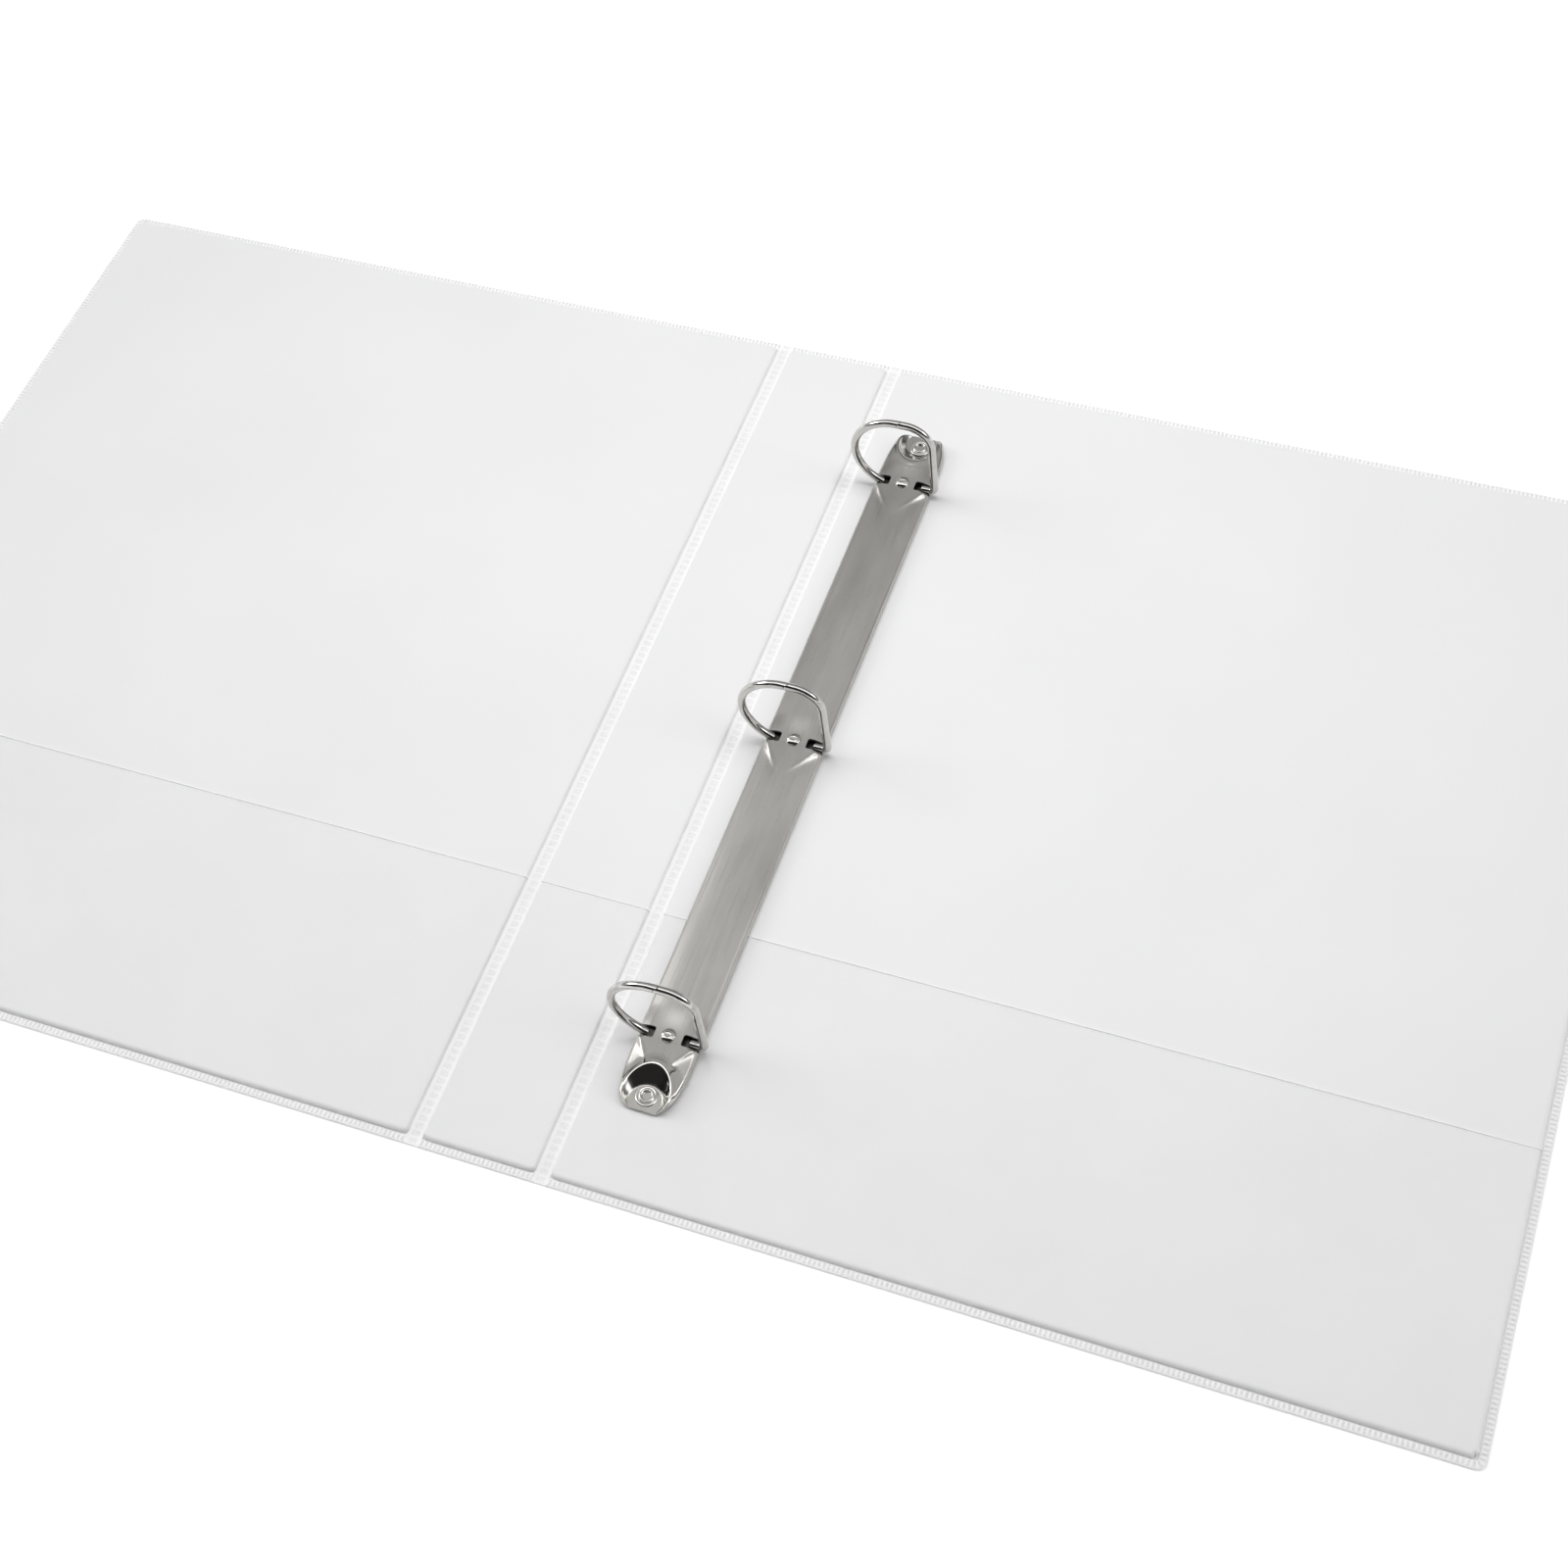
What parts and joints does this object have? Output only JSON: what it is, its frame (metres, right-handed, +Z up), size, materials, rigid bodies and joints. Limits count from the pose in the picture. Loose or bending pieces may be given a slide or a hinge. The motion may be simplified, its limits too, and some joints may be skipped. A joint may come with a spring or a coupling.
{
  "type": "ring binder",
  "caption": "White view ring binder lying open, with a D-ring mechanism riveted inside its back cover, hinged spine and covers, and clear pockets.",
  "frame": {"origin": "on the surface the open binder lies on, under the middle of its spine at mid height", "axes": "+X from the spine across the back cover to its outer edge, +Y along the spine to the head of the binder, +Z up out of the inside of the binder"},
  "size_m": [0.571, 0.322, 0.0369],
  "materials": {
    "greyboard": "plain grey board",
    "white_film": "semi-gloss white film",
    "clear_film": "clear film",
    "welded_film": "white film with a knurled weld",
    "nickel_steel": "nickel plated, faint lengthwise brushing",
    "leaf_steel": "plain plated steel",
    "ring_wire": "polished nickel plate",
    "rivet_metal": "polished nickel plate"
  },
  "bodies": {
    "back_cover": {"back_board": "greyboard", "back_outer_sheet": "white_film", "back_inner_sheet": "white_film", "back_view_sleeve": "clear_film", "back_pocket": "clear_film", "back_hinge_cover_half": "welded_film", "housing": "nickel_steel", "guide_rivet_top": "rivet_metal", "guide_rivet_middle": "rivet_metal", "guide_rivet_bottom": "rivet_metal", "mount_rivet_top": "rivet_metal", "mount_rivet_bottom": "rivet_metal", "rivet_washer_top": "rivet_metal", "rivet_washer_bottom": "rivet_metal"},
    "spine": {"spine_board": "greyboard", "spine_outer_sheet": "white_film", "spine_inner_sheet": "white_film", "spine_view_sleeve": "clear_film", "spine_pocket": "clear_film", "front_hinge_spine_half": "welded_film", "back_hinge_spine_half": "welded_film"},
    "front_cover": {"front_board": "greyboard", "front_outer_sheet": "white_film", "front_inner_sheet": "white_film", "front_view_sleeve": "clear_film", "front_pocket": "clear_film", "front_hinge_cover_half": "welded_film"},
    "left_ring_set": {"left_leaf": "leaf_steel", "left_ring_top": "ring_wire", "left_ring_middle": "ring_wire", "left_ring_bottom": "ring_wire"},
    "right_ring_set": {"right_leaf": "leaf_steel", "right_ring_top": "ring_wire", "right_ring_middle": "ring_wire", "right_ring_bottom": "ring_wire"}
  },
  "joints": [
    {"name": "spine_fold", "type": "hinge", "parent": "back_cover", "child": "spine", "pos_m": [0.0203, 0, 0.00095], "axis": [0, 1, 0], "range_deg": [0, 81]},
    {"name": "cover_fold", "type": "hinge", "parent": "spine", "child": "front_cover", "pos_m": [-0.0203, 0, 0.00095], "axis": [0, 1, 0], "range_deg": [0, 99]},
    {"name": "left_rings_open", "type": "hinge", "parent": "back_cover", "child": "left_ring_set", "pos_m": [0.0323, 0, 0.0037], "axis": [0, -1, 0], "range_deg": [0, 14]},
    {"name": "right_rings_open", "type": "hinge", "parent": "back_cover", "child": "right_ring_set", "pos_m": [0.0491, 0, 0.0037], "axis": [0, 1, 0], "range_deg": [0, 14]}
  ],
  "couplings": [
    {"joint": "right_rings_open", "follows": "left_rings_open", "ratio": 1}
  ]
}
